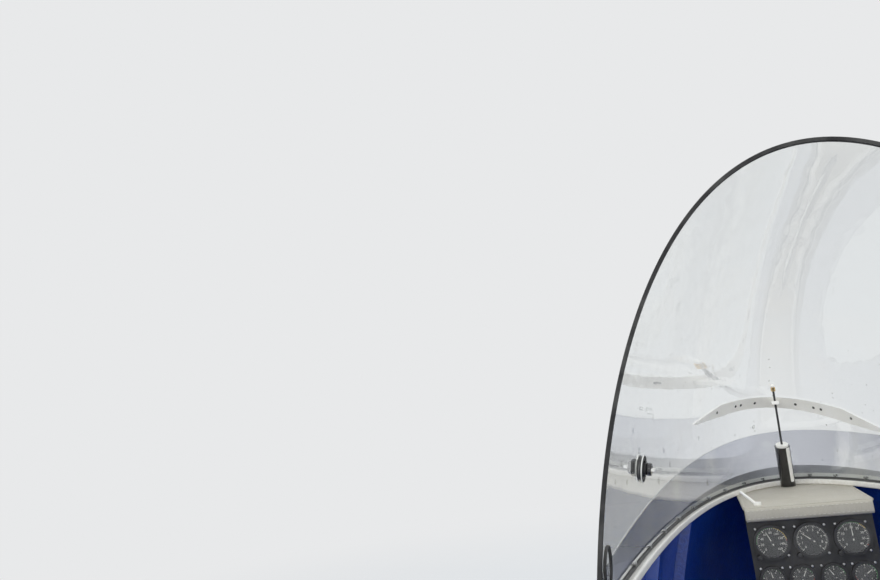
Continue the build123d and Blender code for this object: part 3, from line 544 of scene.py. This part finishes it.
def bush_highlight_stripe():
    """White strip down the right of the stay rod's bush, rounded to it: a painted highlight that stands in for
    the glint of light on the glossy black bush.
    """
    foot, along = rod_axis()
    points = [v.co - foot for v in NODES["stay_bush"].data.vertices]
    radius = max((p - along * p.dot(along)).length for p in points)
    top = max(p.dot(along) for p in points)
    place = seat(foot, along, Vector((0, -1, 0)))
    # Painted highlight: this white strip takes the place of the glint of light on the bush's right side.
    side, spread = radians(34), radians(15)
    inner, outer, length, end = radius + 0.0001, radius + 0.0012, 0.086, 0.002
    mesh, rings = Mesh(), []
    for level, share in ((0.0, 0.8), (-end, 1.0), (2 * end - length, 1.0), (-length, 0.7)):
        arc = [side + spread * share * (k / 6 - 1) for k in range(13)]
        ring = [(-outer * sin(a), outer * cos(a), top + level) for a in arc]
        ring += [(-inner * sin(a), inner * cos(a), top + level) for a in arc[::-1]]
        rings.append(ring)
    mesh.rings(rings, place)
    mesh.piece("bush_highlight_stripe", MATERIALS["white_plastic"], "white_plastic")


def rod_bead():
    """White bead on the end of the stay rod's tip."""
    foot, along = rod_axis()
    top = foot + along * max((v.co - foot).dot(along) for v in NODES["rod_tip"].data.vertices)
    mesh, radius = Mesh(), 0.0042
    arc = [radians(12 * i) for i in range(-4, 8)]
    ball = [(radius * cos(a), radius * 0.8 + radius * sin(a)) for a in arc]
    mesh.revolve(ball, seat(top, along), 20)
    mesh.piece("rod_bead", MATERIALS["white_plastic"], "white_plastic", smooth=radians(60))


# Height above the rim, place from the rim's front and size of the larger drops on the glass's left
DROPS = (
    (0.210, -0.751, 0.0046),
    (0.198, -0.919, 0.0044),
    (0.164, -0.852, 0.0050),
    (0.160, -1.000, 0.0038),
    (0.143, -0.625, 0.0044),
    (0.114, -0.568, 0.0044),
    (0.140, -1.040, 0.0040),
    (0.128, -0.944, 0.0046),
    (0.096, -0.666, 0.0056),
    (0.142, -0.331, 0.0040),
    (0.138, -0.062, 0.0046),
    (0.040, -0.269, 0.0054),
)
SMALL_DROPS = 150
SMALL_HEIGHTS, SMALL_PLACES, SMALL_SIZES = (0.03, 0.30), (-1.02, -0.05), (0.0008, 0.0021)


def glass_drops():
    """Water drops on the outside of the windscreen, the larger ones placed and the rest strewn."""
    draw = Random(6)
    mesh = Mesh()
    ranges = (SMALL_HEIGHTS, SMALL_PLACES, SMALL_SIZES)
    small = [[draw.uniform(*ends) for ends in ranges] for _ in range(SMALL_DROPS)]
    places = [(*drop, -1) for drop in DROPS] + [(*drop, draw.choice((-1, 1))) for drop in small]
    arc = [radians(10 * i) for i in range(9)]
    for height, y, radius, side in places:
        point = glass_point(height, y, side)
        profile = [(radius * cos(a), radius * 0.5 * sin(a)) for a in arc]
        stretch = Matrix.Diagonal((1, 1 + draw.uniform(0, 0.35), 1, 1))
        mesh.revolve(profile, seat(point, glass_outward(point)) @ stretch, 14)
    mesh.piece("glass_drops", WATER, "clear_screen", smooth=radians(60))


# First number, step, count of numbers, small ticks between, needle's share and coloured arcs of each dial
DIAL_LOOKS = (
    (0, 20, 9, 3, 0.42, ((0.15, 0.55, "green"), (0.55, 0.8, "yellow"), (0.8, 0.82, "red"))),
    (0, 1, 10, 4, 0.31, ()),
    (0, 5, 9, 4, 0.5, ((0.3, 0.62, "green"), (0.62, 0.72, "yellow"), (0.95, 0.97, "red"))),
    (0, 2, 6, 1, 0.46, ((0.2, 0.7, "green"), (0.9, 0.93, "red"))),
    (0, 4, 6, 1, 0.6, ((0.35, 0.75, "green"), (0.86, 0.9, "red"))),
    (0, 3, 5, 2, 0.38, ((0.25, 0.8, "green"),)),
    (0, 1, 5, 3, 0.7, ((0.0, 0.15, "red"), (0.4, 0.95, "green"))),
)
DIAL_START, DIAL_SWEEP = radians(225), radians(270)
# Thickness of printed marks, and heights of the needle and of the glass's underside over a dial's face
MARK_THICK, NEEDLE_LEVEL, DIAL_GLASS_LEVEL = 0.00025, 0.0018, 0.0040
# Gap from a dial's face to the screws outside its bezel
DIAL_SCREW_GAP = 0.0095


def dial_frames():
    """A frame on each dial face, its Z axis toward the pilot, with the face's radius."""
    frames = []
    for points in solids("dial_faces"):
        low, high = extent(points)
        middle = Vector(((low.x + high.x) / 2, low.y, (low.z + high.z) / 2))
        frames.append((seat(middle, Vector((0, -1, 0))), (high.x - low.x) / 2))
    return sorted(frames, key=lambda f: (-round(f[0].translation.z, 3), f[0].translation.x))


def dial_corner(radius):
    """Distance across and up from a dial's middle to the screws outside its bezel."""
    return (radius + DIAL_SCREW_GAP) / sqrt(2)


def lettering(text, size):
    """Points and faces of a short text, flat in its own plane and centred."""
    curve = bpy.data.curves.new("text", "FONT")
    curve.body = text
    curve.size = size
    curve.align_x, curve.align_y = "CENTER", "CENTER"
    curve.resolution_u = 2
    holder = bpy.data.objects.new("text", curve)
    data = bpy.data.meshes.new_from_object(holder)
    points, faces = [v.co.copy() for v in data.vertices], [list(p.vertices) for p in data.polygons]
    bpy.data.objects.remove(holder)
    bpy.data.curves.remove(curve)
    bpy.data.meshes.remove(data)
    return points, faces


def flat_bar(mesh, place, half_width, low, high, tip_half_width=None):
    """A thin bar in a dial's plane, from one radius to another."""
    tip = half_width if tip_half_width is None else tip_half_width
    outline = [(-half_width, low), (half_width, low), (tip, high), (-tip, high)]
    mesh.rings([[(x, y, level) for x, y in outline] for level in (0, MARK_THICK)], place)


def dials():
    """Ticks, numbers, coloured arcs, needles, adjusting knobs and glass of the instruments."""
    marks, needles, hubs, glasses = Mesh(), Mesh(), Mesh(), Mesh()
    arcs = {paint: Mesh() for paint in ("green", "yellow", "red")}
    lift = Matrix.Translation((0, 0, 0.0001))
    for (place, radius), look in zip(dial_frames(), DIAL_LOOKS):
        first, step, count, small, share, bands = look
        ticks = (count - 1) * (small + 1)
        for i in range(ticks + 1):
            turn = Matrix.Rotation(DIAL_START - pi / 2 - DIAL_SWEEP * i / ticks, 4, "Z")
            major = i % (small + 1) == 0
            inner = radius * (0.80 if major else 0.87)
            flat_bar(marks, place @ lift @ turn, 0.0006 if major else 0.0003, inner, radius * 0.95)
            if major:
                angle = DIAL_START - DIAL_SWEEP * i / ticks
                spot = Matrix.Translation((radius * 0.64 * cos(angle), radius * 0.64 * sin(angle), 0.0002))
                marks.add(*lettering(str(first + step * i // (small + 1)), radius * 0.22), place @ spot)
        for start, end, paint in bands:
            edge = [(0.955, 0.0001), (0.99, 0.0001), (0.99, 0.0003), (0.955, 0.0003)]
            rings = []
            for k in range(25):
                angle = DIAL_START - DIAL_SWEEP * (start + (end - start) * k / 24)
                rings.append([(radius * r * cos(angle), radius * r * sin(angle), z) for r, z in edge])
            arcs[paint].rings(rings, place)
        needle = Matrix.Rotation(DIAL_START - pi / 2 - DIAL_SWEEP * share, 4, "Z")
        level = Matrix.Translation((0, 0, NEEDLE_LEVEL))
        flat_bar(needles, place @ level @ needle, 0.0013, -radius * 0.22, radius * 0.78, 0.0003)
        hubs.revolve([(0.0032, 0.0), (0.0032, 0.0028), (0.0024, 0.0034), (0.0008, 0.0036)], place)
        dome = ((0.9995, 0.0), (0.9995, 0.0010), (0.6, 0.0014), (0.05, 0.0015))
        profile = [(radius * share, DIAL_GLASS_LEVEL + level) for share, level in dome]
        glasses.revolve(profile, place, 48)
        if count > 8:
            corner = Matrix.Translation((-dial_corner(radius), -dial_corner(radius), 0))
            knob = [(0.0055, 0), (0.0055, 0.007), (0.0048, 0.009), (0.001, 0.0092)]
            hubs.revolve(knob, place @ corner, 20)
    marks.piece("dial_marks", PAINTS["white"], "dial_black")
    needles.piece("dial_needles", PAINTS["white"], "dial_black")
    hubs.piece("dial_hubs", MATERIALS["black_plastic"], "black_plastic")
    glasses.piece("dial_glasses", DIAL_GLASS, "clear_screen")
    for paint, mesh in arcs.items():
        mesh.piece("dial_arcs_" + paint, PAINTS[paint], "dial_black")


def knobs():
    """Fluted panel knobs with a white pointer line."""
    fluted, lines = Mesh(), Mesh()
    steps = 48
    for points in solids("panel_knobs"):
        low, high = extent(points)
        middle = Vector(((low.x + high.x) / 2, high.y, (low.z + high.z) / 2))
        place, radius, length = seat(middle, Vector((0, -1, 0))), (high.x - low.x) / 2, high.y - low.y

        def ring(share, level, depth):
            shape = [radius * share * (1 - (depth if i % 4 > 1 else 0)) for i in range(steps)]
            return [(r * cos(a), r * sin(a), level) for r, a in zip(shape, angles(steps))]

        profile = [ring(1, 0, 0), ring(1, length * 0.2, 0), ring(0.86, length * 0.28, 0.07)]
        profile += [ring(0.82, length * 0.9, 0.07), ring(0.74, length, 0)]
        fluted.rings(profile, place)
        flat_bar(lines, place @ Matrix.Translation((0, 0, length)), 0.0008, 0.001, radius * 0.7)
    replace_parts(fluted.piece("panel_knob_set", MATERIALS["black_plastic"], "black_plastic"), "panel_knobs")
    lines.piece("panel_knob_lines", PAINTS["white"], "black_plastic")


def switch_nuts():
    """Hexagon nuts and ball ends of the toggle switches."""
    mesh = Mesh()
    for points in solids("panel_switches"):
        low, high = extent(points)
        middle = Vector(((low.x + high.x) / 2, high.y, (low.z + high.z) / 2))
        place = seat(middle, Vector((0, -1, 0)))
        mesh.revolve([(0.0082, 0), (0.0086, 0.0004), (0.0086, 0.0018), (0.0080, 0.0024)], place, 6)
        end = Matrix.Translation((0, 0, high.y - low.y - 0.0005))
        ball = [(0.0031 * cos(a), 0.0031 * sin(a)) for a in [radians(15 * i) for i in range(-5, 6)]]
        mesh.revolve(ball, place @ end, 16)
    mesh.piece("switch_nuts", MATERIALS["switch_chrome"], "switch_chrome")


def panel_screws():
    """Small screws at the corners of each instrument."""
    mesh = Mesh()
    for place, radius in dial_frames():
        for x, z in ((-1, -1), (-1, 1), (1, -1), (1, 1)):
            if radius > 0.03 and (x, z) == (-1, -1):
                continue
            spread = dial_corner(radius)
            corner = Matrix.Translation((x * spread, z * spread, -0.001))
            pan_head(mesh, place @ corner, 0.0028, 0.0014)
    mesh.piece("panel_screws", MATERIALS["screw_steel"], "screw_steel")


def hood_edge():
    """Padded roll along the hood's rear lip, with a row of stitches above and below it."""
    low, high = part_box("hood")
    rear, top = low.y, high.z
    points = [v.co for v in NODES["hood"].data.vertices if abs(v.co.y - rear) < 1e-5]
    half = max(abs(p.x) for p in points) - 0.001
    tall, deep, bulge = top - low.z, 0.012, 0.0035
    mesh, stitches = Mesh(), Mesh()
    count = 60
    rings = []
    for i in range(count + 1):
        x = -half + 2 * half * i / count
        wave = 0.0004 * sin(i * 2.4)
        ring = []
        for a in angles(20):
            c, s = cos(a), sin(a)
            y = (abs(c) ** 0.6) * (1 if c > 0 else -1) * (deep / 2 + bulge + wave)
            z = (abs(s) ** 0.6) * (1 if s > 0 else -1) * (tall / 2 + 0.0015)
            ring.append((x, rear + deep / 2 + y, top - tall / 2 - 0.0018 + z))
        rings.append(ring)
    mesh.rings(rings)
    roll = mesh.piece("hood_roll", MATERIALS["hood_grey"], "hood_grey", smooth=radians(80))
    pitch, reach, wide, thick = 0.009, 0.0022, 0.0004, 0.0006
    thread = [[(x, wide * cos(a), thick * sin(a)) for a in angles(4)] for x in (-reach, reach)]
    for i in range(int(2 * half / pitch)):
        x = -half + 0.006 + pitch * i
        for level in (top - 0.006, low.z + 0.004):
            stitches.rings(thread, seat(Vector((x, rear - bulge - 0.0002, level)), Vector((0, -1, 0))))
    stitches.piece("hood_stitches", PAINTS["white"], "hood_grey")
    piping, radius = Mesh(), 0.0036
    front = max(v.co.y for v in NODES["hood"].data.vertices if abs(v.co.x) > half - 0.001)
    for side in (-1, 1):
        rings = []
        for i in range(31):
            y = rear + 0.004 + (front - rear - 0.010) * i / 30
            middle, level = side * (half + 0.0003 * sin(i * 1.9 + side)), top - 0.002
            rings.append([(middle + radius * cos(a), y, level + radius * sin(a)) for a in angles(14)])
        piping.rings(rings)
    piping.piece("hood_piping", MATERIALS["hood_grey"], "hood_grey", smooth=radians(80))


# Middle, from the rim's front and above the rim, and half sizes of the oval grommets by the free edge
GROMMET_Y, GROMMET_HEIGHT, GROMMET_HALF_LENGTH, GROMMET_HALF_HEIGHT = -1.113, 0.046, 0.021, 0.026


def grommets():
    """Oval rubber grommets on the inside of the windscreen, low beside its free edge."""
    mesh, tube, steps = Mesh(), 0.0022, 12
    for side in (-1, 1):
        rings = []
        for a in angles(48):
            y = GROMMET_Y + GROMMET_HALF_LENGTH * cos(a)
            height = GROMMET_HEIGHT + GROMMET_HALF_HEIGHT * sin(a)
            point = glass_point(height, y, side)
            outward = glass_outward(point)
            away = Vector((0, GROMMET_HALF_HEIGHT * cos(a), GROMMET_HALF_LENGTH * sin(a)))
            away = (away - outward * away.dot(outward)).normalized()
            middle = point - outward * (GLASS + 0.0003 + tube)
            rings.append([middle + away * tube * cos(t) + outward * tube * sin(t) for t in angles(steps)])
        mesh.rings(rings, closed=True)
    mesh.piece("foot_grommets", MATERIALS["black_rubber"], "black_rubber", smooth=radians(80))


def vent_details():
    """Ribs on the vent's ring, a thin pale ring round its edge as a painted highlight of the light on the rim,
    and a finger grip with a white bar on its scoop as a painted highlight of the glints on the grip.
    """
    points = [v.co for v in NODES["vent_ring"].data.vertices]
    middle = sum(points, Vector()) / len(points)
    outward = glass_outward(middle)
    reach = [(p - middle).dot(outward) for p in points]
    rim = max(((p - middle) - outward * (p - middle).dot(outward)).length for p in points)
    ribs, grip = Mesh(), Mesh()
    place = seat(middle + outward * min(reach), outward)
    for angle in angles(24):
        turn = Matrix.Rotation(angle, 4, "Z")
        low, high, half = rim * 0.84, rim * 0.98, 0.0005
        shape = [[(low, -half, 0.0), (high, -half, 0.0), (high, half, 0.0), (low, half, 0.0)]]
        shape.append([(x, y, -0.0008) for x, y, _ in shape[0]])
        ribs.rings(shape, place @ turn)
    ribs.piece("vent_ribs", MATERIALS["black_plastic"], "black_plastic")
    # Painted highlight: a pale metal ring round the vent's rim stands in for the light caught on the ring's
    # edge.
    highlight_ring, tube = Mesh(), 0.0010
    section = [(rim + tube * cos(a), tube + tube * sin(a)) for a in angles(10)]
    loop = [[(r * cos(a), r * sin(a), level) for r, level in section] for a in angles(60)]
    highlight_ring.rings(loop, place, closed=True)
    highlight_ring.piece("vent_highlight_ring", MATERIALS["strip_aluminium"], "strip_aluminium", smooth=radians(80))
    scoop = [v.co for v in NODES["vent_scoop"].data.vertices]
    base = min((p - middle).dot(outward) for p in scoop)
    knob = [p for p in scoop if (p - middle).dot(outward) < base + 0.0005]
    hub = sum(knob, Vector()) / len(knob)
    radius = max((p - hub).length for p in knob)
    grip_place = seat(hub, outward)
    steps = 36

    def fluted(share, level):
        sizes = [radius * share * (1.0 if i % 3 else 0.93) for i in range(steps)]
        return [(r * cos(a), r * sin(a), level) for r, a in zip(sizes, angles(steps))]

    rings = ((1.02, 0.007), (1.1, 0.006), (1.1, 0.0), (1.02, -0.0012), (0.7, -0.0016))
    grip.rings([fluted(share, level) for share, level in rings], grip_place)
    grip.piece("vent_grip", MATERIALS["gloss_black"], "black_plastic", "vent")
    # Painted highlight: a white bar across the grip stands in for the glints of light on the glossy black
    # knob.
    half, reach = radius * 0.2, radius * 0.92
    outline = [(-reach, -half), (reach, -half), (reach, half), (-reach, half)]
    levels = ((-0.001, 1.0), (-0.0050, 0.96), (-0.0062, 0.82))
    bar = Mesh()
    bar.rings([[(x * size, y * size, level) for x, y in outline] for level, size in levels], grip_place)
    bar.piece("vent_highlight_bar", MATERIALS["white_plastic"], "white_plastic", "vent")


def shell_screws():
    """Countersunk washers and screws round the shell's rear edge, into the joint frame inside it."""
    data = NODES["nose_shell"].data
    shell = BVHTree.FromPolygons([v.co for v in data.vertices], [list(p.vertices) for p in data.polygons])
    middle = Vector((0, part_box("rear_frame")[0].y + 0.013, 0.42))
    pitch, start, lowest = 0.075, 0.035, 0.012
    mesh = Mesh()
    for side in (-1, 1):
        last, run = None, pitch - start
        for i in range(400):
            turn = radians(70 - 160 * i / 399)
            away = Vector((side * cos(turn), 0, sin(turn)))
            point, outward, _, _ = shell.ray_cast(middle + away, -away)
            if point is None or point.z > RIM_Z - 0.02:
                continue
            run += (point - last).length if last is not None else 0.0
            last = point
            if run < pitch or point.z < lowest:
                continue
            run = 0.0
            place = seat(point, outward, Vector((0, 1, 0)))
            mesh.revolve([(0.0078, -0.0004), (0.0078, 0.0003), (0.0066, 0.0011), (0.0040, 0.0013)], place)
            pan_head(mesh, place @ Matrix.Translation((0, 0, 0.0005)), 0.0042, 0.0016)
    mesh.piece("shell_screws", MATERIALS["screw_steel"], "screw_steel")


def lamp_details():
    """Screws in the landing light's ring."""
    low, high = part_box("light_ring")
    mesh = Mesh()
    ring = [v.co for v in NODES["light_ring"].data.vertices]
    middle = (low + high) / 2
    radius = (high.x - low.x) / 2 - 0.0045
    for angle in angles(6, radians(30)):
        spot = Vector((radius * cos(angle), 0, middle.z + radius * sin(angle)))
        near = [p for p in ring if (p.x - spot.x) ** 2 + (p.z - spot.z) ** 2 < 0.012**2]
        front = max(p.y for p in near)
        pan_head(mesh, seat(Vector((spot.x, front - 0.0012, spot.z)), Vector((0, 1, 0))), 0.003, 0.0016)
    mesh.piece("light_ring_screws", MATERIALS["screw_steel"], "screw_steel")


clamp_screws()
stay_rivets()
bush_highlight_stripe()
rod_bead()
glass_drops()
dials()
knobs()
switch_nuts()
panel_screws()
hood_edge()
grommets()
vent_details()
shell_screws()
lamp_details()


def floor_and_light():
    """Pale floor and background, with soft studio lamps."""
    s = Shader("studio_floor")
    backdrop = srgb(232, 233, 234)
    tone = s.mix(s.noise(2, 3), srgb(224, 225, 226), srgb(229, 230, 230))
    near = s.node("BsdfPrincipled", Base_Color=tone, Roughness=0.9)
    far = s.node("Emission", Color=backdrop)
    away = s.node("VectorMath", {"operation": "LENGTH"})
    s.feed(away.inputs[0], s.place)
    path = s.node("LightPath")
    seen = s.math("MAXIMUM", path.outputs["Is Camera Ray"], path.outputs["Is Glossy Ray"])
    seen = s.math("MAXIMUM", seen, path.outputs["Is Transmission Ray"])
    smooth = {"interpolation_type": "SMOOTHSTEP"}
    fade = s.node("MapRange", smooth, Value=away.outputs["Value"], From_Min=1.4, From_Max=5.0)
    both = s.node("MixShader")
    s.feed(both.inputs[0], s.math("MULTIPLY", fade.outputs[0], seen))
    s.tree.links.new(near.outputs[0], both.inputs[1])
    s.tree.links.new(far.outputs[0], both.inputs[2])
    s.tree.links.new(both.outputs[0], s.node("OutputMaterial").inputs["Surface"])
    reach = 400.0
    data = bpy.data.meshes.new("studio_floor")
    corners = [(-reach, -reach, 0), (reach, -reach, 0), (reach, reach, 0), (-reach, reach, 0)]
    data.from_pydata(corners, [], [(0, 1, 2, 3)])
    data.materials.append(s.material)
    floor = bpy.data.objects.new("studio_floor", data)
    bpy.context.scene.collection.objects.link(floor)

    world = bpy.data.worlds.new("studio")
    world.use_nodes = True
    tree = world.node_tree
    tree.nodes.clear()
    path = tree.nodes.new("ShaderNodeLightPath")
    shown = tree.nodes.new("ShaderNodeBackground")
    shown.inputs["Color"].default_value = backdrop
    fill = tree.nodes.new("ShaderNodeBackground")
    fill.inputs["Color"].default_value = (0.9, 0.95, 1.0, 1)
    fill.inputs["Strength"].default_value = 0.72
    seen = path.outputs["Is Camera Ray"]
    for kind in ("Is Glossy Ray", "Is Transmission Ray"):
        add = tree.nodes.new("ShaderNodeMath")
        add.operation = "MAXIMUM"
        tree.links.new(seen, add.inputs[0])
        tree.links.new(path.outputs[kind], add.inputs[1])
        seen = add.outputs[0]
    mix = tree.nodes.new("ShaderNodeMixShader")
    tree.links.new(seen, mix.inputs[0])
    tree.links.new(fill.outputs[0], mix.inputs[1])
    tree.links.new(shown.outputs[0], mix.inputs[2])
    end = tree.nodes.new("ShaderNodeOutputWorld")
    tree.links.new(mix.outputs[0], end.inputs["Surface"])
    bpy.context.scene.world = world

    aim = Vector((0, 0.5, 0.5))
    # Place, size across and along, and power of each lamp
    lamps = (
        ((-3.84, -2.22, 4.50), (3.8, 2.6), 84.0),
        ((4.16, 0.02, 3.86), (2.6, 4.2), 60.0),
        ((0.64, 5.46, 3.22), (5.1, 1.4), 40.0),
        ((-0.96, -5.42, 1.46), (2.9, 1.9), 76.0),
    )
    for place, (across, along), power in lamps:
        data = bpy.data.lights.new("studio_lamp", "AREA")
        data.shape = "RECTANGLE"
        data.size, data.size_y = across, along
        data.energy = power
        lamp = bpy.data.objects.new("studio_lamp", data)
        lamp.location = place
        lamp.rotation_mode = "QUATERNION"
        lamp.rotation_quaternion = (aim - Vector(place)).to_track_quat("-Z", "Y")
        lamp.visible_camera = False
        lamp.visible_transmission = False
        bpy.context.scene.collection.objects.link(lamp)


def camera():
    """The camera at the photograph's place, angle and lens."""
    data = bpy.data.cameras.new("camera")
    data.sensor_width = SENSOR
    data.lens = CAMERA_LENS
    data.clip_start = 0.01
    ahead = Vector((-sin(CAMERA_LEFT) * cos(CAMERA_UP), cos(CAMERA_LEFT) * cos(CAMERA_UP), sin(CAMERA_UP)))
    level = Vector((cos(CAMERA_LEFT), sin(CAMERA_LEFT), 0))
    above = level.cross(ahead)
    right = level * cos(CAMERA_ROLL) - above * sin(CAMERA_ROLL)
    up = level * sin(CAMERA_ROLL) + above * cos(CAMERA_ROLL)
    turn = Matrix((right, up, -ahead)).transposed().to_4x4()
    obj = bpy.data.objects.new("camera", data)
    obj.matrix_world = Matrix.Translation(CAMERA_PLACE) @ turn
    bpy.context.scene.collection.objects.link(obj)
    bpy.context.scene.camera = obj


floor_and_light()
camera()
bpy.context.scene.view_settings.view_transform = "Standard"
